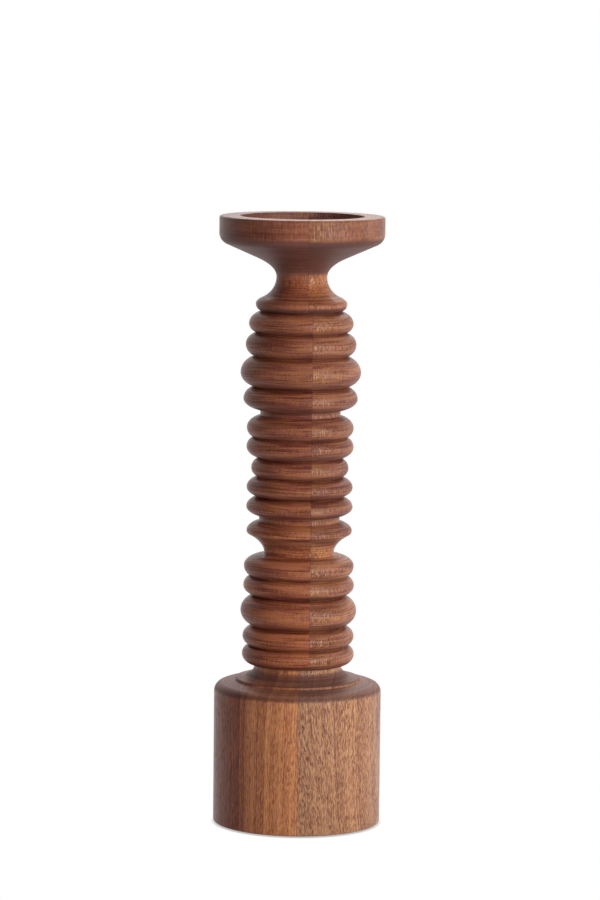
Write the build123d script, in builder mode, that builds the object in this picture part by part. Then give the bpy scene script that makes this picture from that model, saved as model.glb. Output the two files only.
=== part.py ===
from build123d import *
from math import cos, radians, sin
import os

os.makedirs("parts", exist_ok=True)

# A turned wooden pricket stand for one pillar candle: a laminated drum base, a beaded column
# and a dished cup, joined by dowels. Millimetres, Z up, origin under the middle of the felt.

# Drum base: plain wall, sloping shoulder, low ring, flared neck
BASE_DIAMETER = 110.0
BASE_WALL_HEIGHT = 91.7
BASE_FOOT_ROUND = 1.2
SHOULDER_RISE = 2.4
SHOULDER_ROUND = 6.0
RING_RADIUS = 41.0
RING_HEIGHT = 1.8
RING_ROUND = 0.8
RING_LAND = 1.2
NECK_FLARE_HEIGHT = 7.4
NECK_FLARE_SWEEP = 80.0
NECK_RADIUS = 28.7
NECK_COLLAR_HEIGHT = 1.9

# Felt pad, let into the underside of the base and standing a little proud of it. Its edge
# keeps a margin inside the base's wall.
FELT_MARGIN = 6.0
FELT_DIAMETER = BASE_DIAMETER - 2 * FELT_MARGIN
FELT_THICKNESS = 2.0
FELT_PROUD = 0.8
FELT_CLEARANCE = 0.3

# Column: each turning is (height below its middle, height above it, radius at its middle,
# radius at its upper edge, height of a straight neck above it), from the foot up. A middle
# wider than the edges is a bead.
COLUMN_FOOT_RADIUS = 31.6
COLUMN_TURNINGS = [
    (6.5, 5.9, 36.9, 32.0, 0.0),
    (6.0, 7.0, 36.6, 29.8, 0.0),
    (10.1, 10.1, 38.1, 29.5, 0.0),
    (6.3, 6.4, 36.4, 31.7, 0.0),
    (6.8, 7.2, 36.1, 26.9, 0.0),
    (0.5, 13.3, 22.7, 33.5, 0.0),
    (2.1, 6.4, 34.6, 26.5, 3.6),
    (5.9, 6.8, 34.9, 27.3, 0.0),
    (6.0, 7.0, 34.8, 27.5, 0.0),
    (5.6, 6.8, 31.9, 27.0, 0.0),
    (7.2, 6.4, 35.1, 30.6, 0.0),
    (6.3, 8.1, 35.0, 26.3, 3.4),
    (7.4, 8.1, 37.4, 30.7, 0.0),
    (9.3, 10.7, 39.4, 30.5, 0.0),
    (7.7, 7.7, 36.2, 29.4, 0.0),
    (5.8, 8.2, 34.2, 26.3, 0.0),
]
BEAD_SWEEP = 70.0
COVE_SWEEP = 46.0

# Cup: small bead at its foot that runs into the waist, straight underside, upright rim and
# candle recess
CUP_BEAD_RADIUS = 29.9
CUP_BEAD_LOWER_HEIGHT = 4.8
CUP_BEAD_UPPER_HEIGHT = 4.3
CUP_BEAD_EDGE_RADIUS = 25.5
CUP_BEAD_UPPER_SWEEP = 36.0
WAIST_RADIUS = 16.6
WAIST_LOWER_HEIGHT = 13.3
WAIST_UPPER_HEIGHT = 12.4
WAIST_SWEEP = 64.0
UNDERSIDE_INNER_RADIUS = 29.2
UNDERSIDE_RISE = 11.0
RIM_RADIUS = 54.1
RIM_HEIGHT = 16.4
RIM_TOP_ROUND = 1.5
RIM_LOWER_ROUND = 8.0
RECESS_DIAMETER = 81.0
RECESS_DEPTH = 14.0
RECESS_LIP_ROUND = 0.6

# Glue lines between the staves, as distances to the right of the axis
BASE_LEFT_GLUE_LINE = -37.5
BASE_RIGHT_GLUE_LINE = 0.5
COLUMN_GLUE_LINE = 7.5
CUP_GLUE_LINE = 4.3

# Dowels, centred on the two joints
LOWER_DOWEL_DIAMETER = 20.0
LOWER_DOWEL_LENGTH = 60.0
UPPER_DOWEL_DIAMETER = 14.0
UPPER_DOWEL_LENGTH = 50.0
DOWEL_CHAMFER = 1.0
DOWEL_CLEARANCE = 0.1
GLUE_SPACE = 0.5

# Pricket: a steel pin with a collar, driven through a washer into the recess floor
PIN_LENGTH = 9.0
PIN_ROOT_DIAMETER = 4.4
PIN_TIP_DIAMETER = 0.6
COLLAR_DIAMETER = 8.0
COLLAR_THICKNESS = 1.0
TAIL_DIAMETER = 3.0
TAIL_LENGTH = 15.0
TAIL_POINT = 2.0
TAIL_CLEARANCE = 0.05
WASHER_DIAMETER = 18.0
WASHER_THICKNESS = 1.0
WASHER_EDGE_ROUND = 0.3
WASHER_CLEARANCE = 0.2

# Levels, from the underside of the felt up
base_underside = FELT_PROUD
rebate_ceiling = FELT_THICKNESS
shoulder_edge_level = base_underside + BASE_WALL_HEIGHT
shoulder_top_level = shoulder_edge_level + SHOULDER_RISE
ring_level = shoulder_top_level + RING_HEIGHT
neck_level = ring_level + NECK_FLARE_HEIGHT
lower_joint_level = neck_level + NECK_COLLAR_HEIGHT
column_height = sum(below + above + neck for below, above, _, _, neck in COLUMN_TURNINGS)
upper_joint_level = lower_joint_level + column_height
column_top_radius = COLUMN_TURNINGS[-1][3]
cup_bead_level = upper_joint_level + CUP_BEAD_LOWER_HEIGHT
cup_bead_top_level = cup_bead_level + CUP_BEAD_UPPER_HEIGHT
waist_level = cup_bead_top_level + WAIST_LOWER_HEIGHT
underside_level = waist_level + WAIST_UPPER_HEIGHT
rim_lower_level = underside_level + UNDERSIDE_RISE
rim_level = rim_lower_level + RIM_HEIGHT
recess_floor_level = rim_level - RECESS_DEPTH
washer_top_level = recess_floor_level + WASHER_THICKNESS
collar_top_level = washer_top_level + COLLAR_THICKNESS

base_radius = BASE_DIAMETER / 2
recess_radius = RECESS_DIAMETER / 2
rebate_radius = FELT_DIAMETER / 2 + FELT_CLEARANCE
lower_bore_radius = LOWER_DOWEL_DIAMETER / 2 + DOWEL_CLEARANCE
lower_bore_depth = LOWER_DOWEL_LENGTH / 2 + GLUE_SPACE
upper_bore_radius = UPPER_DOWEL_DIAMETER / 2 + DOWEL_CLEARANCE
upper_bore_depth = UPPER_DOWEL_LENGTH / 2 + GLUE_SPACE
tail_bore_radius = TAIL_DIAMETER / 2 + TAIL_CLEARANCE
tail_bore_depth = TAIL_LENGTH - WASHER_THICKNESS + GLUE_SPACE


def turned_quarter(edge, middle, sweep):
    """Draw a quarter of a bead or cove, from its edge to the middle where it runs upright."""
    edge_radius, edge_level = edge
    middle_radius, middle_level = middle
    across = abs(middle_radius - edge_radius) / (1 - cos(radians(sweep)))
    along = abs(middle_level - edge_level) / sin(radians(sweep))
    is_bead = middle_radius > edge_radius
    is_below = edge_level < middle_level
    centre = (middle_radius - across if is_bead else middle_radius + across, middle_level)
    middle_angle = 0 if is_bead else 180
    turn = sweep if is_bead == is_below else -sweep
    EllipticalCenterArc(centre, across, along, middle_angle - turn, arc_size=turn)


def circles_of(part, radius):
    """Give the part's round edges of one radius, lowest first."""
    rings = part.edges().filter_by(GeomType.CIRCLE)
    return rings.filter_by(lambda ring: abs(ring.radius - radius) < 0.001).sort_by(Axis.Z)


# Drum base, turned in one piece and then cut at its glue lines
with BuildPart() as base_blank:
    with BuildSketch(Plane.XZ):
        with BuildLine():
            Polyline(
                (0, lower_joint_level),
                (0, rebate_ceiling),
                (rebate_radius, rebate_ceiling),
                (rebate_radius, base_underside),
                (base_radius, base_underside),
                (base_radius, shoulder_edge_level),
                (RING_RADIUS, shoulder_top_level),
                (RING_RADIUS, ring_level),
                (RING_RADIUS - RING_LAND, ring_level),
            )
            flare_foot = (RING_RADIUS - RING_LAND, ring_level)
            turned_quarter(flare_foot, (NECK_RADIUS, neck_level), NECK_FLARE_SWEEP)
            Polyline((NECK_RADIUS, neck_level), (NECK_RADIUS, lower_joint_level), (0, lower_joint_level))
        make_face()
    revolve(axis=Axis.Z)
    fillet(circles_of(base_blank, base_radius)[0], radius=BASE_FOOT_ROUND)
    fillet(circles_of(base_blank, base_radius)[-1], radius=SHOULDER_ROUND)
    fillet(circles_of(base_blank, RING_RADIUS)[-1], radius=RING_ROUND)
    with Locations((0, 0, lower_joint_level)):
        Hole(lower_bore_radius, lower_bore_depth)

base_left_plane = Plane.YZ.offset(BASE_LEFT_GLUE_LINE)
base_right_plane = Plane.YZ.offset(BASE_RIGHT_GLUE_LINE)

with BuildPart() as base_left_stave:
    add(base_blank.part)
    split(bisect_by=base_left_plane, keep=Keep.BOTTOM)
base_left_stave.part.label = "base_left_stave"
export_step(base_left_stave.part, "parts/base_left_stave.step")

with BuildPart() as base_middle_stave:
    add(base_blank.part)
    split(bisect_by=base_left_plane, keep=Keep.TOP)
    split(bisect_by=base_right_plane, keep=Keep.BOTTOM)
base_middle_stave.part.label = "base_middle_stave"
export_step(base_middle_stave.part, "parts/base_middle_stave.step")

with BuildPart() as base_right_stave:
    add(base_blank.part)
    split(bisect_by=base_right_plane, keep=Keep.TOP)
base_right_stave.part.label = "base_right_stave"
export_step(base_right_stave.part, "parts/base_right_stave.step")

# Beaded column, turned in one piece and then cut at its glue line
with BuildPart() as column_blank:
    with BuildSketch(Plane.XZ):
        with BuildLine():
            Polyline((0, upper_joint_level), (0, lower_joint_level), (COLUMN_FOOT_RADIUS, lower_joint_level))
            edge = (COLUMN_FOOT_RADIUS, lower_joint_level)
            for below, above, middle_radius, edge_radius, neck in COLUMN_TURNINGS:
                middle = (middle_radius, edge[1] + below)
                upper_edge = (edge_radius, middle[1] + above)
                sweep = BEAD_SWEEP if middle_radius > edge_radius else COVE_SWEEP
                turned_quarter(edge, middle, sweep)
                turned_quarter(upper_edge, middle, sweep)
                edge = (edge_radius, upper_edge[1] + neck)
                if neck > 0:
                    Line(upper_edge, edge)
            Line(edge, (0, upper_joint_level))
        make_face()
    revolve(axis=Axis.Z)
    with Locations((0, 0, lower_joint_level)):
        Hole(lower_bore_radius, lower_bore_depth)
    with Locations((0, 0, upper_joint_level)):
        Hole(upper_bore_radius, upper_bore_depth)

column_plane = Plane.YZ.offset(COLUMN_GLUE_LINE)

with BuildPart() as column_left_stave:
    add(column_blank.part)
    split(bisect_by=column_plane, keep=Keep.BOTTOM)
column_left_stave.part.label = "column_left_stave"
export_step(column_left_stave.part, "parts/column_left_stave.step")

with BuildPart() as column_right_stave:
    add(column_blank.part)
    split(bisect_by=column_plane, keep=Keep.TOP)
column_right_stave.part.label = "column_right_stave"
export_step(column_right_stave.part, "parts/column_right_stave.step")

# Cup: the waist curve ends along the line of the straight underside
underside_slope = UNDERSIDE_RISE / (RIM_RADIUS - UNDERSIDE_INNER_RADIUS)
waist_corner_level = underside_level - underside_slope * (UNDERSIDE_INNER_RADIUS - WAIST_RADIUS)

with BuildPart() as cup_blank:
    with BuildSketch(Plane.XZ):
        with BuildLine():
            cup_foot = (column_top_radius, upper_joint_level)
            cup_bead = (CUP_BEAD_RADIUS, cup_bead_level)
            cup_bead_top = (CUP_BEAD_EDGE_RADIUS, cup_bead_top_level)
            waist = (WAIST_RADIUS, waist_level)
            underside = (UNDERSIDE_INNER_RADIUS, underside_level)
            Polyline((0, recess_floor_level), (0, upper_joint_level), cup_foot)
            turned_quarter(cup_foot, cup_bead, BEAD_SWEEP)
            turned_quarter(cup_bead_top, cup_bead, CUP_BEAD_UPPER_SWEEP)
            turned_quarter(cup_bead_top, waist, WAIST_SWEEP)
            Bezier(waist, (WAIST_RADIUS, waist_corner_level), underside)
            Polyline(
                underside,
                (RIM_RADIUS, rim_lower_level),
                (RIM_RADIUS, rim_level),
                (recess_radius, rim_level),
                (recess_radius, recess_floor_level),
                (0, recess_floor_level),
            )
        make_face()
    revolve(axis=Axis.Z)
    fillet(circles_of(cup_blank, RIM_RADIUS)[0], radius=RIM_LOWER_ROUND)
    fillet(circles_of(cup_blank, RIM_RADIUS)[-1], radius=RIM_TOP_ROUND)
    fillet(circles_of(cup_blank, recess_radius)[-1], radius=RECESS_LIP_ROUND)
    with Locations((0, 0, upper_joint_level)):
        Hole(upper_bore_radius, upper_bore_depth)
    with Locations((0, 0, recess_floor_level)):
        Hole(tail_bore_radius, tail_bore_depth)

cup_plane = Plane.YZ.offset(CUP_GLUE_LINE)

with BuildPart() as cup_left_stave:
    add(cup_blank.part)
    split(bisect_by=cup_plane, keep=Keep.BOTTOM)
cup_left_stave.part.label = "cup_left_stave"
export_step(cup_left_stave.part, "parts/cup_left_stave.step")

with BuildPart() as cup_right_stave:
    add(cup_blank.part)
    split(bisect_by=cup_plane, keep=Keep.TOP)
cup_right_stave.part.label = "cup_right_stave"
export_step(cup_right_stave.part, "parts/cup_right_stave.step")

# Dowel between base and column
with BuildPart() as lower_dowel:
    with BuildSketch(Plane.XY.offset(lower_joint_level)):
        Circle(LOWER_DOWEL_DIAMETER / 2)
    extrude(amount=LOWER_DOWEL_LENGTH / 2, both=True)
    chamfer(lower_dowel.edges().filter_by(GeomType.CIRCLE), DOWEL_CHAMFER)
lower_dowel.part.label = "lower_dowel"
export_step(lower_dowel.part, "parts/lower_dowel.step")

# Dowel between column and cup
with BuildPart() as upper_dowel:
    with BuildSketch(Plane.XY.offset(upper_joint_level)):
        Circle(UPPER_DOWEL_DIAMETER / 2)
    extrude(amount=UPPER_DOWEL_LENGTH / 2, both=True)
    chamfer(upper_dowel.edges().filter_by(GeomType.CIRCLE), DOWEL_CHAMFER)
upper_dowel.part.label = "upper_dowel"
export_step(upper_dowel.part, "parts/upper_dowel.step")

# Washer on the recess floor
with BuildPart() as pricket_washer:
    with BuildSketch(Plane.XY.offset(recess_floor_level)):
        Circle(WASHER_DIAMETER / 2)
        Circle(TAIL_DIAMETER / 2 + WASHER_CLEARANCE, mode=Mode.SUBTRACT)
    extrude(amount=WASHER_THICKNESS)
    fillet(circles_of(pricket_washer, WASHER_DIAMETER / 2)[-1], radius=WASHER_EDGE_ROUND)
pricket_washer.part.label = "pricket_washer"
export_step(pricket_washer.part, "parts/pricket_washer.step")

# Pricket pin, with its collar on the washer and its tail in the cup
with BuildPart() as pricket_spike:
    with BuildSketch(Plane.XZ):
        with BuildLine():
            tail_end_level = washer_top_level - TAIL_LENGTH
            Polyline(
                (0, tail_end_level),
                (TAIL_DIAMETER / 2, tail_end_level + TAIL_POINT),
                (TAIL_DIAMETER / 2, washer_top_level),
                (COLLAR_DIAMETER / 2, washer_top_level),
                (COLLAR_DIAMETER / 2, collar_top_level),
                (PIN_ROOT_DIAMETER / 2, collar_top_level),
                (PIN_TIP_DIAMETER / 2, collar_top_level + PIN_LENGTH),
                (0, collar_top_level + PIN_LENGTH),
                close=True,
            )
        make_face()
    revolve(axis=Axis.Z)
pricket_spike.part.label = "pricket_spike"
export_step(pricket_spike.part, "parts/pricket_spike.step")

# Felt pad
with BuildPart() as felt_pad:
    with BuildSketch(Plane.XY):
        Circle(FELT_DIAMETER / 2)
    extrude(amount=FELT_THICKNESS)
felt_pad.part.label = "felt_pad"
export_step(felt_pad.part, "parts/felt_pad.step")
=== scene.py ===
"""Finishes, stage and camera for a turned wooden pricket candle stand."""

import math
from dataclasses import dataclass

import bmesh
import bpy
from bpy.props import FloatProperty, FloatVectorProperty, PointerProperty
from mathutils import Matrix, Vector, noise


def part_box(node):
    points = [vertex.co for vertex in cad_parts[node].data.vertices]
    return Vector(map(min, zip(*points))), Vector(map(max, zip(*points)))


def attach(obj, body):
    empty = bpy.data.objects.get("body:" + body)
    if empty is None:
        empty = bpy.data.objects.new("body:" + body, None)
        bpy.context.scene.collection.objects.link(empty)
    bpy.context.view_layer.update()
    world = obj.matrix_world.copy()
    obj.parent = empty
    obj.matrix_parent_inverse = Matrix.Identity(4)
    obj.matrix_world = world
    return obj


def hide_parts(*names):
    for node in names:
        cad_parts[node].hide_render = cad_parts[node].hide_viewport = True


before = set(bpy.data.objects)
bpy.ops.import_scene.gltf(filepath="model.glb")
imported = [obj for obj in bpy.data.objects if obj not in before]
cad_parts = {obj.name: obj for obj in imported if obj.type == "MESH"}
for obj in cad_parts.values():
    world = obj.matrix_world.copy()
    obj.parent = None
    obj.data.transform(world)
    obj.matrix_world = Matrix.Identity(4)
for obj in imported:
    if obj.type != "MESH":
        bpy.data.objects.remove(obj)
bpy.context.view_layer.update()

bl_info = {
    "name": "Pricket Candle Stand",
    "version": (1, 0, 0),
    "blender": (4, 5, 0),
    "location": "View3D > Sidebar > Candle Stand",
    "description": "Finishes the staves, dowels, pricket and felt of a turned candle stand",
    "category": "Object",
}

BODY = "root"
MM_PER_METRE = 1000.0
WHITE = (1.0, 1.0, 1.0, 1.0)
NOISE_MIDDLE = 0.5

# Shades of a board's tone, in red, green and blue
PALE_GRAIN = (1.5, 1.67, 1.48)
DARK_GRAIN = (0.59, 0.43, 0.42)
PORE_SHADE = (0.4, 0.28, 0.27)
FLECK_SHADE = (2.15, 2.9, 2.4)
SEAM_SHADE = (0.5, 0.42, 0.45)
# Shade painted in the grooves, where finish also gathers, and on the shoulder's rounded edge and ring
PAINTED_SHADE_AND_FINISH = (0.5, 0.38, 0.34)
VIOLET_SHADE = (1.01, 0.96, 1.16)
AMBER_SHADE = (1.03, 1.04, 0.8)
# Darkening of end grain, also used as painted shade on downward faces
END_GRAIN_AND_SHADOW_SHADE = (0.5, 0.44, 0.5)

# The colour that end grain, and the shade painted on downward faces, come close to, and how close
END_GRAIN_AND_SHADOW_TONE = (0.135, 0.061, 0.058)
END_GRAIN_AND_SHADOW_SHARE = 0.6

# Spots of the wood's figure along X, Y and Z, in millimetres
SWAY_SIZE = (70.0, 70.0, 150.0)
RIPPLE_SIZE = (8.0, 8.0, 13.0)
RING_SIZE = (30.0, 30.0, 0.9)
CLOUD_SIZE = (45.0, 45.0, 6.0)
PATCH_SIZE = (12.0, 12.0, 2.0)
FLECK_SIZE = (0.65, 0.65, 3.4)
PORE_SIZE = (0.55, 0.55, 3.4)
PORE_CROWD_SIZE = (7.0, 7.0, 16.0)
SEAM_BREAK_SIZE = (30.0, 30.0, 8.0)

# Moves the pores away from the flecks' pattern, in millimetres
PORE_SHIFT = (40.0, 9.0, 70.0)

# Thickness of layers and of the marks of turning and sanding, in millimetres
GROWTH_LAYER = 7.0
GROWTH_LINE = 1.3
TOOL_MARK = 1.8
SANDING_MARK = 0.8
STEEL_MARK = 0.18

# In each pair of these, the first value gives nothing and the second gives all
GRAIN_RANGE = (0.1, 0.9)
PATCH_RANGE = (0.35, 0.65)
STROKE_RANGE = (0.53, 0.66)
PORE_CROWD_RANGE = (0.3, 0.6)
FELT_RANGE = (0.3, 0.7)

# The same for the slope of a face, from upright at 0 to level at 1
LEVEL_SLOPE = (0.3, 0.8)
CROSS_CUT_SLOPE = (0.2, 0.65)
# Slopes of the shoulder's rounded edge, where shade is painted
EDGE_LOWER_SLOPE = (0.1, 0.35)
EDGE_UPPER_SLOPE = (0.85, 0.55)

# The same for a distance from a glue line or groove, in millimetres
FLECK_REACH = (26.0, 2.0)
HAIRLINE_REACH = (0.45, 0.1)
GROOVE_REACH = (0.9, 0.15)

# The same for a height above the shoulder's crown, where shade is painted, in millimetres
EDGE_TOP = (1.0, 0.0)
RING_FOOT = (2.2, 2.8)
RING_TOP = (4.4, 4.0)
FLARE_FOOT = (4.2, 6.0)
FLARE_TOP = (11.0, 7.0)

# The same for the distance outside the recess's wall and above its floor, in millimetres
RECESS_WALL = (0.6, 0.1)
RECESS_FLOOR = (-2.0, -1.0)

# How strongly the shades show: the seams' own dark lines, and the shade painted in the grooves, on the
# ring and in the recess
SEAM_FAINT = 0.05
SEAM_BROKEN = 0.5
GROOVE_STRENGTH = 0.6
RING_STRENGTH = 0.6
RECESS_FLOOR_LOSS = 0.75

# Width over which the painted highlight rises, in millimetres
HIGHLIGHT_RISE = 16.0

# How much each mark changes the wood's relief and its roughness
STREAK_RELIEF = 0.35
PORE_RELIEF = 0.8
SANDING_RELIEF = 0.4
STREAK_ROUGHNESS = 0.15
PORE_ROUGHNESS = 0.2
END_GRAIN_ROUGHNESS = 0.08

# How far the sanding marks lean on sloping faces, and the clear coat over the wood
SANDING_LEAN = 0.6
COAT_ROUGHNESS = 0.12
COAT_IOR = 1.2

# Smears on the steel: their size in millimetres, their shade and how much more matt they are
SMEAR_SIZE = (3.0, 3.0, 3.0)
SMEAR_SHADE = (0.82, 0.8, 0.78)
SMEAR_ROUGHNESS = 0.15

# The felt's bends, fibres and clumps, in millimetres, and the shades of its tone
FELT_BEND_SIZE = (3.0, 3.0, 3.0)
FELT_BEND = (4.0, 4.0, 4.0)
FELT_FIBRE = (0.25, 1.8, 0.6)
FELT_CROSS_FIBRE = (1.8, 0.25, 0.6)
FELT_CLUMP = (5.0, 5.0, 5.0)
FELT_DARK = (0.55, 0.55, 0.55)
FELT_PALE = (1.6, 1.6, 1.6)
FELT_ROUGHNESS = 0.95
FELT_SHEEN = 0.3

# Depth of each material's relief, in metres, and its strength
WOOD_RELIEF = 0.0004
STEEL_RELIEF = 0.0001
STEEL_RELIEF_STRENGTH = 0.25
FELT_RELIEF = 0.0004
FELT_RELIEF_STRENGTH = 0.6

# The felt disc's rings and sides, and how fine its nap is, per metre
FELT_RINGS = 24
FELT_SIDES = 128
NAP_FINENESS = 900.0

# The floor, where its shadow gives way to white in metres from the axis, and the shadow's own white
FLOOR_RADIUS = 4.0
FLOOR_SIDES = 96
SHADOW_RANGE = (0.0535, 0.057)
SHADOW_WHITE = 0.5

# The backdrop, by the direction's Y and Z, and where a mirror image of it turns white
BACKDROP_SIDE = (-0.1, 0.7)
BACKDROP_TOP = (0.75, 0.45)
BACKDROP_MIRRORED = (0.1, 0.8)

# The softboxes' places, what they aim at, and their widths and heights, in metres
LIGHT_AIM = (0.0, 0.0, 0.2)
KEY_PLACE = (1.55, -1.6, 0.64)
KEY_SIZE = (1.9, 0.95)
SIDE_PLACE = (2.1, 0.55, 0.3)
SIDE_SIZE = (0.8, 0.6)
TOP_PLACE = (0.1, 1.2, 1.65)
TOP_SIZE = (1.3, 1.3)

# Width and height of the camera's picture, in millimetres
SENSOR_SIZE = 36.0


@dataclass(frozen=True)
class PaintedHighlight:
    """A golden highlight painted in a band at one height of a board, from a start in X to the right, in
    millimetres.
    """

    middle: float = 0.0
    reach: float = 1.0
    strength: float = 0.0
    start: float = -16.0
    shade: tuple = (1.7, 1.75, 1.3)


@dataclass
class Board:
    """How one board was sawn, turned and finished; all lengths are in millimetres."""

    # The heart of its tree in X and Y, its start in the pattern, and its glue lines in X
    heart: tuple
    start: tuple
    seams: tuple
    # How far its fibres sway, ripple and lean, and how wide and long their streaks are
    sway: float = 12.0
    ripple: float = 1.2
    slant: float = 0.0
    stroke: tuple = (0.6, 4.0)
    # How strongly each kind of figure shows
    layers: float = 0.0
    lines: float = 0.0
    streaks: float = 0.0
    rings: float = 0.0
    clouds: float = 0.0
    patches: float = 0.0
    turned: float = 0.0
    pores: float = 0.0
    flecks: float = 0.0
    # The slopes at which end grain, partly painted shade on downward faces, starts and is full, its
    # strength, and its side: 1 up, -1 down
    end_grain_and_painted_shade: tuple = (0.5, 1.0)
    end_grain_and_shade_strength: float = 0.3
    end_grain_and_shade_side: float = -1.0
    # The height of the shoulder's crown, and how dark the shade painted on the shoulder's rounded edge is
    crown: float = 0.0
    painted_edge_shade: float = 0.0
    # The recess's radius, its floor's height and the light and shade painted on its wall
    recess: tuple = ()
    recess_light_and_shade: tuple = (1.0, 1.0, 1.0)
    # Heights of the grooves between the beads
    grooves: tuple = ()
    # Slow changes, some of them painted light and shade towards a side or an end: the axis, where the
    # change is full, where it ends, and its shade
    drifts: tuple = ()
    # A golden highlight painted in a band at one height
    painted_highlight: PaintedHighlight = PaintedHighlight()


class Signal:
    """A shader socket; Python arithmetic on it adds Math nodes."""

    def __init__(self, recipe, socket):
        self.recipe = recipe
        self.socket = socket

    def math(self, operation, *terms):
        """Add one Math node on these terms."""
        return self.recipe.add("ShaderNodeMath", {"operation": operation}, dict(enumerate(terms)))

    def maximum(self, other):
        """Give the larger of the two."""
        return self.math("MAXIMUM", self, other)

    def minimum(self, other):
        """Give the smaller of the two."""
        return self.math("MINIMUM", self, other)

    def __add__(self, other):
        return self.math("ADD", self, other)

    __radd__ = __add__

    def __sub__(self, other):
        return self.math("SUBTRACT", self, other)

    def __rsub__(self, other):
        return self.math("SUBTRACT", other, self)

    def __mul__(self, other):
        return self.math("MULTIPLY", self, other)

    __rmul__ = __mul__

    def __truediv__(self, other):
        return self.math("DIVIDE", self, other)

    def __rtruediv__(self, other):
        return self.math("DIVIDE", other, self)

    def __abs__(self):
        return self.math("ABSOLUTE", self)


class Recipe:
    """The nodes of a material or a world while they are being added."""

    def __init__(self, owner):
        owner.use_nodes = True
        self.owner = owner
        self.tree = owner.node_tree
        self.tree.nodes.clear()

    def add(self, kind, settings=None, sockets=None, output=0):
        """Add a node: its settings first, then the values or links of its sockets."""
        node = self.tree.nodes.new(kind)
        for name, value in (settings or {}).items():
            setattr(node, name, value)
        for key, value in (sockets or {}).items():
            if isinstance(value, Signal):
                self.tree.links.new(value.socket, node.inputs[key])
            else:
                node.inputs[key].default_value = value
        return Signal(self, node.outputs[output]) if len(node.outputs) else None

    def vector(self, operation, *terms):
        """Add one Vector Math node on these terms."""
        return self.add("ShaderNodeVectorMath", {"operation": operation}, dict(enumerate(terms)))

    def distance(self, vector):
        """Give a vector's length."""
        return self.add("ShaderNodeVectorMath", {"operation": "LENGTH"}, {0: vector}, "Value")

    def axis(self, vector, letter):
        """Give a vector's X, Y or Z."""
        return self.add("ShaderNodeSeparateXYZ", None, {0: vector}, letter)

    def place(self):
        """Give the place on the object, in metres."""
        return self.add("ShaderNodeTexCoord", output="Object")

    def place_in_mm(self):
        """Give the place on the object, in millimetres."""
        return self.vector("MULTIPLY", self.place(), (MM_PER_METRE,) * 3)

    def distance_round(self, vector, centre=(0.0, 0.0)):
        """Give the distance in X and Y from a centre."""
        origin = (-centre[0], -centre[1], 0.0)
        return self.distance(self.vector("MULTIPLY_ADD", vector, (1.0, 1.0, 0.0), origin))

    def mottle(self, vector, size, detail=2.0, output="Fac"):
        """Give noise whose spots are about this size in millimetres along X, Y and Z."""
        stretched = self.vector("DIVIDE", vector, size)
        sockets = {"Vector": stretched, "Scale": 1.0, "Detail": detail, "Roughness": 0.55}
        return self.add("ShaderNodeTexNoise", {"noise_dimensions": "3D"}, sockets, output)

    def layers(self, depth, width, detail=2.0):
        """Give noise along one direction, in layers about this many millimetres thick."""
        sockets = {"W": depth / width, "Scale": 1.0, "Detail": detail, "Roughness": 0.6}
        return self.add("ShaderNodeTexNoise", {"noise_dimensions": "1D"}, sockets, "Fac")

    def between(self, value, low, high):
        """Rise smoothly from 0 at low to 1 at high."""
        settings = {"interpolation_type": "SMOOTHSTEP"}
        sockets = {"Value": value, "From Min": low, "From Max": high}
        return self.add("ShaderNodeMapRange", settings, sockets)

    def blend(self, factor, first, second, mode="MIX"):
        """Mix two colours."""
        settings = {"data_type": "RGBA", "blend_type": mode}
        return self.add("ShaderNodeMix", settings, {0: factor, 6: first, 7: second}, 2)

    def shade(self, factor, colour, shade):
        """Multiply a colour by a shade, as far as the factor says."""
        return self.blend(factor, colour, rgba(shade), "MULTIPLY")

    def bump(self, relief, strength, depth):
        """Give the normal of a surface with this relief."""
        sockets = {"Strength": strength, "Distance": depth, "Height": relief}
        return self.add("ShaderNodeBump", None, sockets)

    def rays(self, kind):
        """Give 1 for rays of one kind."""
        return self.add("ShaderNodeLightPath", output="Is %s Ray" % kind)

    def finish(self, surface, output="ShaderNodeOutputMaterial"):
        """Join the surface shader to the output and give the material or world."""
        self.add(output, None, {"Surface": surface})
        return self.owner


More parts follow.
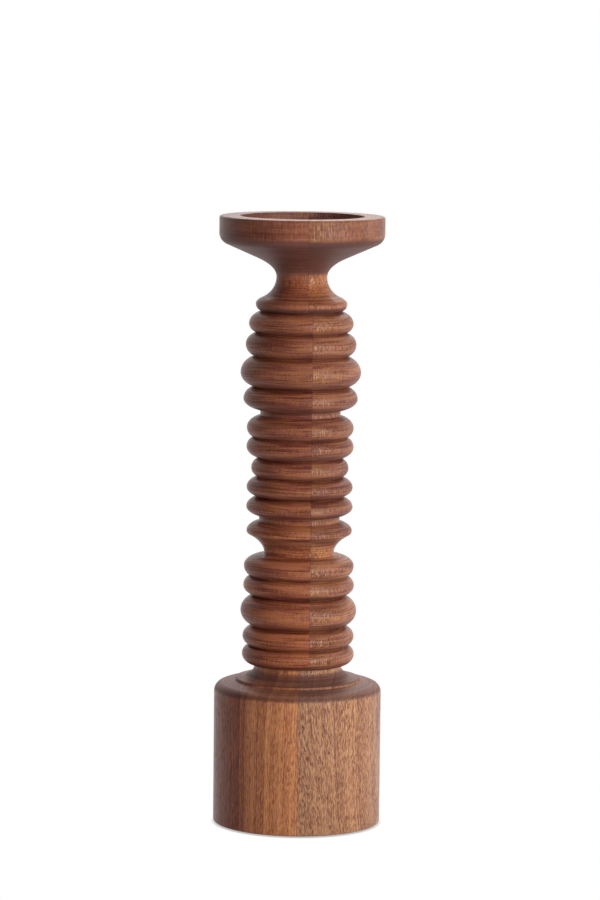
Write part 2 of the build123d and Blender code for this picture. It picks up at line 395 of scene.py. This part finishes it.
class StaveWood(Recipe):
    """The oiled wood of one board, as a solid pattern that runs through it."""

    def __init__(self, name, tone, board):
        super().__init__(bpy.data.materials.new(name))
        self.tone = tone
        self.board = board
        self.point = self.place_in_mm()
        self.across = self.axis(self.point, "X")
        self.height = self.axis(self.point, "Z")
        self.radius = self.distance_round(self.point)
        self.slope = self.axis(self.add("ShaderNodeNewGeometry", output="Normal"), "Z")
        self.level = self.between(abs(self.slope), *LEVEL_SLOPE)
        self.lengthwise = 1 - self.between(abs(self.slope), *CROSS_CUT_SLOPE)
        self.start = self.vector("ADD", self.point, board.start)
        self.swayed = self.sway()
        self.fibre = self.ripple()
        width, length = board.stroke
        self.streaks = self.mottle(self.fibre, (width, width, length))
        self.pores = self.open_pores()
        self.end_grain_and_painted_shade = self.ends_and_painted_shade()

    def sway(self):
        """Give the place in the pattern of a board that sways slowly."""
        slow = self.mottle(self.start, SWAY_SIZE, 1.0, "Color")
        return self.vector("MULTIPLY_ADD", slow, (self.board.sway,) * 3, self.start)

    def ripple(self):
        """Give the place among the fibres, which ripple and may lean."""
        quick = self.mottle(self.start, RIPPLE_SIZE, 1.0, "Color")
        rippled = self.vector("MULTIPLY_ADD", quick, (self.board.ripple,) * 3, self.swayed)
        lean = self.add("ShaderNodeCombineXYZ", None, {"X": self.height * self.board.slant})
        return self.vector("ADD", rippled, lean)

    def open_pores(self):
        """Give the open pores, which are short dashes along the fibres."""
        shifted = self.vector("ADD", self.fibre, PORE_SHIFT)
        dashes = self.between(self.mottle(shifted, PORE_SIZE, 1.0), *STROKE_RANGE)
        crowds = self.between(self.mottle(self.fibre, PORE_CROWD_SIZE, 1.0), *PORE_CROWD_RANGE)
        return dashes * crowds * self.lengthwise * self.board.pores

    def ends_and_painted_shade(self):
        """Give the end grain on sloping faces, partly painted shade on faces that look down, and the
        flare above the shoulder's ring, darkened as end grain and painted shade.
        """
        board = self.board
        sloped = self.between(self.slope * board.end_grain_and_shade_side, *board.end_grain_and_painted_shade) * board.end_grain_and_shade_strength
        if not board.crown:
            return sloped
        rise = self.height - board.crown
        return sloped.maximum(self.between(rise, *FLARE_FOOT) * self.between(rise, *FLARE_TOP))

    def figure(self):
        """Give the board's tone with its growth layers, streaks and tool marks."""
        board = self.board
        # Growth layers lie in rings round the heart of the tree
        depth = self.distance_round(self.fibre, board.heart)
        tool_marks = self.layers(self.radius, TOOL_MARK) - NOISE_MIDDLE
        grain = NOISE_MIDDLE + tool_marks * self.level * board.turned
        for pattern, strength in (
            (self.layers(depth, GROWTH_LAYER), board.layers),
            (self.layers(depth, GROWTH_LINE, 3.0), board.lines),
            (self.streaks, board.streaks),
            (self.mottle(self.swayed, RING_SIZE, 3.0), board.rings),
            (self.mottle(self.swayed, CLOUD_SIZE, 1.0), board.clouds),
        ):
            grain = grain + (pattern - NOISE_MIDDLE) * strength
        dark = tinted(self.tone, DARK_GRAIN)
        return self.blend(self.between(grain, *GRAIN_RANGE), dark, tinted(self.tone, PALE_GRAIN))

    def add_patches(self, colour):
        """Let patches lean to amber or to violet."""
        amber = self.between(self.mottle(self.swayed, PATCH_SIZE), *PATCH_RANGE)
        hue = self.blend(amber, rgba(VIOLET_SHADE), rgba(AMBER_SHADE))
        return self.blend(self.board.patches, colour, hue, "MULTIPLY")

    def add_flecks(self, colour):
        """Add the rays' pale flecks near a glue line, where the wood is cut along its fibres."""
        strokes = self.between(self.mottle(self.fibre, FLECK_SIZE, 1.0), *STROKE_RANGE)
        flecks = strokes * self.lengthwise * self.board.flecks
        for seam in self.board.seams:
            flecks = flecks * self.between(abs(self.across - seam), *FLECK_REACH)
        return self.blend(flecks, colour, tinted(self.tone, FLECK_SHADE))

    def add_seams(self, colour):
        """Draw the glue lines as broken dark hairlines."""
        for seam in self.board.seams:
            broken = self.between(self.mottle(self.point, SEAM_BREAK_SIZE, 1.0), *PATCH_RANGE)
            hairline = self.between(abs(self.across - seam), *HAIRLINE_REACH)
            hairline = hairline * (SEAM_FAINT + broken * SEAM_BROKEN)
            colour = self.blend(hairline, colour, tinted(self.tone, SEAM_SHADE))
        return colour

    def add_drifts(self, colour):
        """Change the board slowly towards an end or a side; some of these changes are painted light and
        shade.
        """
        for letter, full, none, shade in self.board.drifts:
            share = self.between(self.axis(self.point, letter), none, full)
            colour = self.shade(share, colour, shade)
        return colour

    def add_painted_highlight(self, colour):
        """Paint a golden highlight in a band along the streaks at one height."""
        painted_highlight = self.board.painted_highlight
        band = self.between(abs(self.height - painted_highlight.middle), painted_highlight.reach, 0.0)
        lit = self.between(self.across, painted_highlight.start, painted_highlight.start + HIGHLIGHT_RISE)
        highlight_share = band * lit * self.between(self.streaks, *GRAIN_RANGE) * painted_highlight.strength
        return self.shade(highlight_share, colour, painted_highlight.shade)

    def add_recess_light_and_shade(self, colour):
        """Paint light and shade on the recess's wall, and a little of it on its floor."""
        radius, floor = self.board.recess
        inside = self.between(self.radius - radius, *RECESS_WALL)
        inside = inside * self.between(self.height - floor, *RECESS_FLOOR)
        return self.shade(inside * (1 - self.level * RECESS_FLOOR_LOSS), colour, self.board.recess_light_and_shade)

    def add_grooves(self, colour):
        """Paint shade in the grooves between the beads, where the finish also gathers."""
        nearest, *others = [abs(self.height - groove) for groove in self.board.grooves]
        for gap in others:
            nearest = nearest.minimum(gap)
        return self.shade(self.between(nearest, *GROOVE_REACH) * GROOVE_STRENGTH, colour, PAINTED_SHADE_AND_FINISH)

    def add_shoulder_shade(self, colour):
        """Paint shade on the shoulder's rounded edge and on the wall of its ring."""
        rise = self.height - self.board.crown
        ring = self.between(rise, *RING_FOOT) * self.between(rise, *RING_TOP) * RING_STRENGTH
        edge = self.between(self.slope, *EDGE_LOWER_SLOPE) * self.between(self.slope, *EDGE_UPPER_SLOPE)
        edge = edge * self.between(rise, *EDGE_TOP) * self.board.painted_edge_shade
        return self.shade(edge.maximum(ring), colour, PAINTED_SHADE_AND_FINISH)

    def add_end_grain_and_painted_shade(self, colour):
        """Let the end grain drink the finish and turn dark; the same dark colour is painted shade on
        downward faces and on the flare.
        """
        soaked_and_shaded = self.shade(1.0, colour, END_GRAIN_AND_SHADOW_SHADE)
        dark = self.blend(END_GRAIN_AND_SHADOW_SHARE, soaked_and_shaded, rgba(END_GRAIN_AND_SHADOW_TONE))
        return self.blend(self.end_grain_and_painted_shade, colour, dark)

    def colour(self):
        """Give the colour of the finished board, with the painted light and shade laid on it."""
        board = self.board
        colour = self.figure()
        if board.patches:
            colour = self.add_patches(colour)
        if board.flecks:
            colour = self.add_flecks(colour)
        colour = self.blend(self.pores, colour, tinted(self.tone, PORE_SHADE))
        colour = self.add_drifts(self.add_seams(colour))
        if board.painted_highlight.strength:
            colour = self.add_painted_highlight(colour)
        if board.recess:
            colour = self.add_recess_light_and_shade(colour)
        if board.grooves:
            colour = self.add_grooves(colour)
        if board.crown:
            colour = self.add_shoulder_shade(colour)
        return self.add_end_grain_and_painted_shade(colour)

    def oiled(self, wood):
        """Give the material with the finish that all the staves share."""
        sanding = self.layers(self.height + self.radius * SANDING_LEAN, SANDING_MARK)
        relief = self.streaks * STREAK_RELIEF - self.pores * PORE_RELIEF + sanding * SANDING_RELIEF
        uneven = (
            self.pores * PORE_ROUGHNESS
            + (self.streaks - NOISE_MIDDLE) * STREAK_ROUGHNESS
            + self.end_grain_and_painted_shade * END_GRAIN_ROUGHNESS
        )
        surface = self.add(
            "ShaderNodeBsdfPrincipled",
            None,
            {
                "Base Color": self.colour(),
                "Roughness": wood.roughness + uneven,
                "Specular IOR Level": wood.gloss,
                "Normal": self.bump(relief, wood.relief, WOOD_RELIEF),
                "Coat Weight": wood.lacquer * (1 - self.end_grain_and_painted_shade),
                "Coat Roughness": COAT_ROUGHNESS,
                "Coat IOR": COAT_IOR,
            },
        )
        return self.finish(surface)


def rgba(colour):
    """Give a colour with full opacity."""
    return (*colour, 1.0)


def tinted(colour, shade):
    """Multiply a colour by a shade, channel by channel."""
    return rgba([part * share for part, share in zip(colour, shade)])


def turned_steel(tone, roughness):
    """Make bright turned steel with fine rings round the axis."""
    recipe = Recipe(bpy.data.materials.new("turned_steel"))
    point = recipe.place_in_mm()
    marks = recipe.layers(recipe.axis(point, "Z") + recipe.distance_round(point), STEEL_MARK, 3.0)
    smears = recipe.mottle(point, SMEAR_SIZE)
    surface = recipe.add(
        "ShaderNodeBsdfPrincipled",
        None,
        {
            "Base Color": recipe.blend(smears, tinted(tone, SMEAR_SHADE), rgba(tone)),
            "Metallic": 1.0,
            "Roughness": roughness + smears * SMEAR_ROUGHNESS,
            "Normal": recipe.bump(marks, STEEL_RELIEF_STRENGTH, STEEL_RELIEF),
        },
    )
    return recipe.finish(surface)


def pressed_felt(tone):
    """Make matt felt of matted short fibres."""
    recipe = Recipe(bpy.data.materials.new("pressed_felt"))
    point = recipe.place_in_mm()
    bends = recipe.mottle(point, FELT_BEND_SIZE, 1.0, "Color")
    bent = recipe.vector("MULTIPLY_ADD", bends, FELT_BEND, point)
    fibres = recipe.mottle(bent, FELT_FIBRE) * 0.5 + recipe.mottle(bent, FELT_CROSS_FIBRE) * 0.5
    clumps = recipe.mottle(point, FELT_CLUMP)
    pale = recipe.between(fibres * 0.7 + clumps * 0.3, *FELT_RANGE)
    surface = recipe.add(
        "ShaderNodeBsdfPrincipled",
        None,
        {
            "Base Color": recipe.blend(pale, tinted(tone, FELT_DARK), tinted(tone, FELT_PALE)),
            "Roughness": FELT_ROUGHNESS,
            "Normal": recipe.bump(fibres, FELT_RELIEF_STRENGTH, FELT_RELIEF),
            "Sheen Weight": FELT_SHEEN,
        },
    )
    return recipe.finish(surface)


def cover(node, material):
    """Put one material on a CAD node."""
    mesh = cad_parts[node].data
    mesh.materials.clear()
    mesh.materials.append(material)


def tone_property(name, default, description):
    """Declare a colour that a user may change."""
    return FloatVectorProperty(
        name=name, description=description, default=default, subtype="COLOR", min=0.0, max=1.0
    )


def share_property(name, default, description):
    """Declare an amount from 0 to 1."""
    return FloatProperty(
        name=name, description=description, default=default, subtype="FACTOR", min=0.0, max=1.0
    )


def length_property(name, default, description):
    """Declare a length in metres."""
    return FloatProperty(
        name=name, description=description, default=default, unit="LENGTH", precision=4
    )


def angle_property(name, degrees, description):
    """Declare an angle."""
    return FloatProperty(
        name=name, description=description, default=math.radians(degrees), subtype="ANGLE"
    )


def power_property(name, default, description):
    """Declare a lamp's power in watts."""
    return FloatProperty(name=name, description=description, default=default, unit="POWER")


class WoodSettings(bpy.types.PropertyGroup):
    """The finish that all the staves share."""

    roughness: share_property("Roughness", 0.45, "How matt the finished wood is")
    gloss: share_property("Gloss", 0.22, "How strongly the oiled wood reflects")
    lacquer: share_property("Lacquer", 0.22, "Weight of the clear coat, less on end grain")
    relief: share_property("Relief", 0.3, "Strength of the pores and sanding marks")


class BaseSettings(bpy.types.PropertyGroup):
    """The drum base's three staves."""

    left_tone: tone_property("Left stave", (0.285, 0.075, 0.04), "Colour of the dark left stave")
    middle_tone: tone_property("Middle stave", (0.61, 0.235, 0.112), "Colour of the orange middle stave")
    right_tone: tone_property("Right stave", (0.5, 0.238, 0.139), "Colour of the tan right stave")


class ColumnSettings(bpy.types.PropertyGroup):
    """The column's two staves."""

    left_tone: tone_property("Left stave", (0.318, 0.101, 0.058), "Colour of the column's left stave")
    right_tone: tone_property("Right stave", (0.272, 0.098, 0.061), "Colour of the column's right stave")


class CupSettings(bpy.types.PropertyGroup):
    """The cup's two staves."""

    left_tone: tone_property("Left stave", (0.33, 0.11, 0.067), "Colour of the cup's left stave")
    right_tone: tone_property("Right stave", (0.325, 0.122, 0.07), "Colour of the cup's right stave")


class FittingSettings(bpy.types.PropertyGroup):
    """The pricket, its washer and the hidden dowels."""

    steel_tone: tone_property("Steel", (0.62, 0.61, 0.59), "Colour of the pin and the washer")
    steel_roughness: share_property("Steel roughness", 0.28, "How matt the turned steel is")
    dowel_tone: tone_property("Dowels", (0.55, 0.38, 0.22), "Colour of the dowels' wood")


class FeltSettings(bpy.types.PropertyGroup):
    """The felt pad under the base."""

    tone: tone_property("Felt", (0.05, 0.045, 0.04), "Colour of the felt")
    edge_round: length_property("Edge round", 0.0005, "Rounding of the felt's cut edge")
    nap: length_property("Nap", 0.00012, "Height of the uneven nap on the underside")


class StageSettings(bpy.types.PropertyGroup):
    """Camera, light and floor."""

    camera_distance: length_property("Camera distance", 2.665, "From the stand's axis to the camera")
    camera_height: length_property("Camera height", 0.5588, "From the floor to the camera")
    camera_pitch: angle_property("Camera pitch", 6.668, "How far the camera looks down")
    camera_roll: angle_property("Camera roll", 0.62, "How far the camera is turned about its view")
    focal_length: FloatProperty(
        name="Focal length",
        description="Lens of the camera, for a picture 36 mm tall",
        default=163.76,
        unit="CAMERA",
    )
    key_power: power_property("Key light", 38.0, "Power of the large softbox in front, on the right")
    side_power: power_property("Side light", 5.0, "Power of the softbox at the right side")
    top_power: power_property("Top light", 22.0, "Power of the softbox above and behind")
    ambient: share_property("Ambient", 0.14, "Light that comes from all round")
    backdrop: share_property("Backdrop", 0.85, "How brightly the backdrop lights the stand from behind")
    floor_tone: tone_property("Floor", (0.4, 0.4, 0.4), "Colour of the floor round the stand")


class StandSettings(bpy.types.PropertyGroup):
    """All settings of the candle stand."""

    wood: PointerProperty(type=WoodSettings)
    base: PointerProperty(type=BaseSettings)
    column: PointerProperty(type=ColumnSettings)
    cup: PointerProperty(type=CupSettings)
    fittings: PointerProperty(type=FittingSettings)
    felt: PointerProperty(type=FeltSettings)
    stage: PointerProperty(type=StageSettings)


def glue_line(node, side):
    """Give the place in X, in millimetres, of a stave's left (0) or right (1) cut."""
    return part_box(node)[side][0] * MM_PER_METRE


class CANDLE_OT_base(bpy.types.Operator):
    """Finish the drum base's three staves"""

    bl_idname = "candle_stand.base"
    bl_label = "Finish Base"

    def execute(self, context):
        settings = context.scene.candle_stand
        # End grain on the shoulder's top, and painted shade on its flare, rounded edge and ring from the
        # crown
        shoulder = {"end_grain_and_painted_shade": (0.06, 0.5), "end_grain_and_shade_side": 1.0, "crown": 92.5}
        left_line = glue_line("base_left_stave", 1)
        right_line = glue_line("base_right_stave", 0)
        left = Board(
            heart=(-150, 90), start=(12, 40, 5), seams=(left_line,), sway=14.0, stroke=(0.7, 7.0),
            layers=0.9, lines=1.1, streaks=1.4, turned=1.3, pores=0.9,
            end_grain_and_shade_strength=0.75, painted_edge_shade=0.6, **shoulder,
        )
        middle = Board(
            heart=(-170, 60), start=(80, 15, 90), seams=(left_line, right_line), sway=10.0,
            layers=0.7, lines=0.8, streaks=1.1, turned=1.3, pores=0.65,
            end_grain_and_shade_strength=0.75, painted_edge_shade=0.55, **shoulder,
            drifts=(("X", -38, -20, (0.8, 0.72, 0.82)),),
        )
        right = Board(
            heart=(190, 40), start=(35, 70, 33), seams=(right_line,), sway=16.0, ripple=2.4, slant=0.08,
            layers=0.4, lines=0.6, streaks=1.7, turned=1.3, pores=0.95,
            end_grain_and_shade_strength=0.86, painted_edge_shade=0.25, **shoulder,
            drifts=(
                ("Z", 5, 60, (0.94, 0.92, 0.9)),
                ("X", 2, 16, (0.98, 1.0, 1.04)),
                # Painted shade: darker at the far right edge
                ("X", 54, 44, (0.78, 0.76, 0.84)),
            ),
        )
        tones = settings.base
        wood = settings.wood
        cover("base_left_stave", StaveWood("base_left_wood", tones.left_tone, left).oiled(wood))
        cover("base_middle_stave", StaveWood("base_middle_wood", tones.middle_tone, middle).oiled(wood))
        cover("base_right_stave", StaveWood("base_right_wood", tones.right_tone, right).oiled(wood))
        return {"FINISHED"}


class CANDLE_OT_column(bpy.types.Operator):
    """Finish the beaded column's two staves"""

    bl_idname = "candle_stand.column"
    bl_label = "Finish Column"

    def execute(self, context):
        settings = context.scene.candle_stand
        turning = {
            "seams": (glue_line("column_right_stave", 0),),
            "grooves": (
                105.2, 117.6, 130.6, 150.8, 163.5, 177.5, 203.4, 216.1,
                229.1, 241.5, 255.1, 272.9, 288.4, 308.4, 323.8, 337.8,
            ),
            # A golden highlight painted on the cove
            "painted_highlight": PaintedHighlight(187, 12, 1.0, -34, (1.8, 2.1, 1.75)),
            # End grain, partly painted shade, on the beads' lower faces
            "end_grain_and_painted_shade": (0.25, 0.85),
            "end_grain_and_shade_strength": 0.5,
        }
        left = Board(
            heart=(-150, 90), start=(60, 20, 140), sway=9.0,
            lines=0.25, rings=2.1, clouds=1.3, patches=1.0, streaks=1.0, pores=0.4,
            **turning,
            drifts=(
                # Painted light: lighter towards the bottom of the column
                ("Z", 120, 260, (1.22, 1.14, 1.0)),
                # Painted shade: darker towards the left edge
                ("X", -40, -14, (0.88, 0.85, 0.9)),
                ("X", 8, -14, (0.94, 0.98, 1.0)),
            ),
        )
        right = Board(
            heart=(200, 30), start=(15, 55, 60), ripple=1.6,
            lines=0.25, rings=1.8, clouds=1.1, patches=0.8, streaks=1.2, pores=0.75, flecks=0.95,
            **turning,
            drifts=(
                # Painted light: lighter below the cove, towards the bottom of the column
                ("Z", 184, 200, (1.25, 1.32, 1.25)),
                ("Z", 310, 260, (1.18, 1.22, 1.15)),
                ("X", 8, 20, (1.08, 1.1, 1.1)),
            ),
        )
        tones = settings.column
        wood = settings.wood
        cover("column_left_stave", StaveWood("column_left_wood", tones.left_tone, left).oiled(wood))
        cover("column_right_stave", StaveWood("column_right_wood", tones.right_tone, right).oiled(wood))
        return {"FINISHED"}


class CANDLE_OT_cup(bpy.types.Operator):
    """Finish the cup's two staves"""

    bl_idname = "candle_stand.cup"
    bl_label = "Finish Cup"

    def execute(self, context):
        settings = context.scene.candle_stand
        turning = {
            "seams": (glue_line("cup_right_stave", 0),),
            "recess": (40.5, 386.8),
            # End grain, partly painted shade, on the cup's underside
            "end_grain_and_painted_shade": (0.1, 0.5),
        }
        left = Board(
            heart=(-150, 90), start=(22, 64, 18), sway=9.0,
            lines=0.4, rings=0.9, clouds=0.8, patches=0.7, streaks=0.8, turned=1.0, pores=0.4,
            # Painted light on the left of the recess's wall, and a golden highlight painted on the waist
            **turning, end_grain_and_shade_strength=0.85, recess_light_and_shade=(1.1, 1.4, 1.75), painted_highlight=PaintedHighlight(357, 11, 0.95),
            drifts=(
                # Painted shade: darker towards the left side and its far end, and under the rim
                ("X", -30, -2, (0.76, 0.72, 0.78)),
                ("X", -54, -36, (0.62, 0.56, 0.64)),
                ("Z", 376, 386, (0.96, 0.9, 0.86)),
            ),
        )
        right = Board(
            heart=(210, -30), start=(75, 35, 70), ripple=1.6,
            lines=0.4, rings=0.5, clouds=0.7, patches=0.7, streaks=1.0, turned=1.0, pores=0.8, flecks=0.8,
            # Painted shade on the right of the recess's wall, and a golden highlight painted on the waist
            **turning, end_grain_and_shade_strength=1.0, recess_light_and_shade=(0.67, 0.78, 1.25), painted_highlight=PaintedHighlight(357, 11, 0.5),
            drifts=(
                ("Z", 376, 386, (1.06, 0.98, 0.88)),
                ("X", 52, 30, (0.88, 0.84, 0.8)),
            ),
        )
        tones = settings.cup
        wood = settings.wood
        cover("cup_left_stave", StaveWood("cup_left_wood", tones.left_tone, left).oiled(wood))
        cover("cup_right_stave", StaveWood("cup_right_wood", tones.right_tone, right).oiled(wood))
        return {"FINISHED"}


class CANDLE_OT_dowels(bpy.types.Operator):
    """Finish the two dowels inside the joints"""

    bl_idname = "candle_stand.dowels"
    bl_label = "Finish Dowels"

    def execute(self, context):
        settings = context.scene.candle_stand
        board = Board(
            heart=(60, 20), start=(5, 8, 30), seams=(), sway=5.0, lines=0.5, streaks=0.6, pores=0.3
        )
        material = StaveWood("dowel_wood", settings.fittings.dowel_tone, board).oiled(settings.wood)
        cover("lower_dowel", material)
        cover("upper_dowel", material)
        return {"FINISHED"}


class CANDLE_OT_pricket(bpy.types.Operator):
    """Finish the pricket and its washer"""

    bl_idname = "candle_stand.pricket"
    bl_label = "Finish Pricket"

    def execute(self, context):
        fittings = context.scene.candle_stand.fittings
        material = turned_steel(fittings.steel_tone, fittings.steel_roughness)
        cover("pricket_spike", material)
        cover("pricket_washer", material)
        return {"FINISHED"}


class CANDLE_OT_felt(bpy.types.Operator):
    """Make the felt pad under the base"""

    bl_idname = "candle_stand.felt"
    bl_label = "Make Felt Pad"

    def execute(self, context):
        felt = context.scene.candle_stand.felt
        data = bpy.data.meshes.new("felt_disc")
        self.turn_disc(felt, data)
        pad = bpy.data.objects.new("felt_disc", data)
        context.collection.objects.link(pad)
        data.materials.append(pressed_felt(felt.tone))
        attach(pad, BODY)
        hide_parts("felt_pad")
        return {"FINISHED"}

    def turn_disc(self, felt, data):
        """Turn a disc with a rounded edge and a napped underside, as wide and thick as the pad."""
        low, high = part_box("felt_pad")
        radius = (high[0] - low[0]) / 2
        rings = [radius * step / FELT_RINGS for step in range(1, FELT_RINGS)]
        rings.append(radius - felt.edge_round)
        outline = [(ring, low[2], felt.nap) for ring in rings]
        outline += [(radius, low[2] + felt.edge_round, 0.0), (radius, high[2] - felt.edge_round, 0.0)]
        outline += [(ring, high[2], 0.0) for ring in reversed(rings)]
        mesh = bmesh.new()
        loops = [self.add_loop(mesh, *ring) for ring in outline]
        for lower, upper in zip(loops, loops[1:]):
            for side in range(FELT_SIDES):
                after = (side + 1) % FELT_SIDES
                mesh.faces.new((lower[side], lower[after], upper[after], upper[side]))
        mesh.faces.new(list(reversed(loops[0])))
        mesh.faces.new(loops[-1])
        mesh.to_mesh(data)
        mesh.free()
        for face in data.polygons:
            face.use_smooth = True

    def add_loop(self, mesh, radius, level, nap):
        """Add one ring of corners, raised unevenly by up to the nap."""
        loop = []
        for side in range(FELT_SIDES):
            turn = 2 * math.pi * side / FELT_SIDES
            corner = Vector((radius * math.cos(turn), radius * math.sin(turn), level))
            corner.z += nap * (0.5 + 0.5 * noise.noise(corner * NAP_FINENESS))
            loop.append(mesh.verts.new(corner))
        return loop


class CANDLE_OT_stage(bpy.types.Operator):
    """Set the floor, the light and the camera"""

    bl_idname = "candle_stand.stage"
    bl_label = "Set Stage"

    def execute(self, context):
        stage = context.scene.candle_stand.stage
        self.add_floor(context, stage)
        self.add_softbox(context, "key_softbox", KEY_PLACE, KEY_SIZE, stage.key_power)
        self.add_softbox(context, "side_softbox", SIDE_PLACE, SIDE_SIZE, stage.side_power)
        self.add_softbox(context, "top_softbox", TOP_PLACE, TOP_SIZE, stage.top_power)
        self.add_surround(context, stage)
        self.add_camera(context, stage)
        context.scene.view_settings.view_transform = "Standard"
        return {"FINISHED"}

    def add_floor(self, context, stage):
        """Add a round floor that keeps the stand's shadow and looks white further out."""
        mesh = bmesh.new()
        bmesh.ops.create_circle(mesh, cap_ends=True, segments=FLOOR_SIDES, radius=FLOOR_RADIUS)
        data = bpy.data.meshes.new("floor")
        mesh.to_mesh(data)
        mesh.free()
        floor = bpy.data.objects.new("floor", data)
        context.collection.objects.link(floor)
        recipe = Recipe(bpy.data.materials.new("white_floor"))
        away = recipe.between(recipe.distance(recipe.place()), *SHADOW_RANGE)
        seen = recipe.rays("Camera").maximum(recipe.rays("Glossy")).maximum(recipe.rays("Transmission"))
        share = seen * (SHADOW_WHITE + away * (1 - SHADOW_WHITE))
        matt = recipe.add("ShaderNodeBsdfDiffuse", None, {"Color": rgba(stage.floor_tone)})
        white = recipe.add("ShaderNodeEmission", None, {"Color": WHITE, "Strength": 1.0})
        surface = recipe.add("ShaderNodeMixShader", None, {0: share, 1: matt, 2: white})
        data.materials.append(recipe.finish(surface))

    def add_softbox(self, context, name, place, size, power):
        """Add a rectangular area light that faces the stand."""
        light = bpy.data.lights.new(name, "AREA")
        light.shape = "RECTANGLE"
        light.size, light.size_y = size
        light.energy = power
        lamp = bpy.data.objects.new(name, light)
        lamp.location = place
        lamp.rotation_euler = (Vector(LIGHT_AIM) - Vector(place)).to_track_quat("-Z", "Y").to_euler()
        context.collection.objects.link(lamp)

    def add_surround(self, context, stage):
        """Add a dim surround with a white backdrop; the camera sees white all round."""
        recipe = Recipe(bpy.data.worlds.new("white_surround"))
        way = recipe.add("ShaderNodeTexCoord", output="Generated")
        behind = recipe.between(recipe.axis(way, "Y"), *BACKDROP_SIDE)
        low = recipe.between(abs(recipe.axis(way, "Z")), *BACKDROP_TOP)
        mirrored = recipe.rays("Glossy") * recipe.between(behind, *BACKDROP_MIRRORED)
        backdrop = mirrored.maximum(behind * low * stage.backdrop)
        share = recipe.rays("Camera").maximum(recipe.rays("Transmission")).maximum(backdrop)
        dim = recipe.add("ShaderNodeBackground", None, {"Color": WHITE, "Strength": stage.ambient})
        white = recipe.add("ShaderNodeBackground", None, {"Color": WHITE, "Strength": 1.0})
        surround = recipe.add("ShaderNodeMixShader", None, {0: share, 1: dim, 2: white})
        context.scene.world = recipe.finish(surround, "ShaderNodeOutputWorld")

    def add_camera(self, context, stage):
        """Add the camera in front of the stand, a little above it."""
        data = bpy.data.cameras.new("camera")
        data.sensor_fit = "VERTICAL"
        data.sensor_width = SENSOR_SIZE
        data.sensor_height = SENSOR_SIZE
        data.lens = stage.focal_length
        camera = bpy.data.objects.new("camera", data)
        context.collection.objects.link(camera)
        place = Matrix.Translation((0.0, -stage.camera_distance, stage.camera_height))
        tilt = Matrix.Rotation(math.pi / 2 - stage.camera_pitch, 4, "X")
        camera.matrix_world = place @ tilt @ Matrix.Rotation(stage.camera_roll, 4, "Z")
        context.scene.camera = camera


class CANDLE_PT_stand(bpy.types.Panel):
    """Lists the steps and settings of the candle stand"""

    bl_idname = "CANDLE_PT_stand"
    bl_label = "Candle Stand"
    bl_space_type = "VIEW_3D"
    bl_region_type = "UI"
    bl_category = "Candle Stand"

    def draw(self, context):
        settings = context.scene.candle_stand
        for operator in OPERATORS:
            self.layout.operator(operator.bl_idname)
        for group in ("wood", "base", "column", "cup", "fittings", "felt", "stage"):
            box = self.layout.box()
            box.label(text=group.title())
            owner = getattr(settings, group)
            for name in owner.__annotations__:
                box.prop(owner, name)


OPERATORS = (
    CANDLE_OT_base,
    CANDLE_OT_column,
    CANDLE_OT_cup,
    CANDLE_OT_dowels,
    CANDLE_OT_pricket,
    CANDLE_OT_felt,
    CANDLE_OT_stage,
)

CLASSES = (
    WoodSettings,
    BaseSettings,
    ColumnSettings,
    CupSettings,
    FittingSettings,
    FeltSettings,
    StageSettings,
    StandSettings,
    *OPERATORS,
    CANDLE_PT_stand,
)


def register():
    """Register the classes and the scene's settings."""
    for cls in CLASSES:
        bpy.utils.register_class(cls)
    bpy.types.Scene.candle_stand = PointerProperty(type=StandSettings)


def unregister():
    """Remove the scene's settings and the classes."""
    del bpy.types.Scene.candle_stand
    for cls in reversed(CLASSES):
        bpy.utils.unregister_class(cls)


def main():
    """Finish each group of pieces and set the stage."""
    register()
    bpy.ops.candle_stand.base()
    bpy.ops.candle_stand.column()
    bpy.ops.candle_stand.cup()
    bpy.ops.candle_stand.dowels()
    bpy.ops.candle_stand.pricket()
    bpy.ops.candle_stand.felt()
    bpy.ops.candle_stand.stage()


if __name__ == "__main__":
    main()
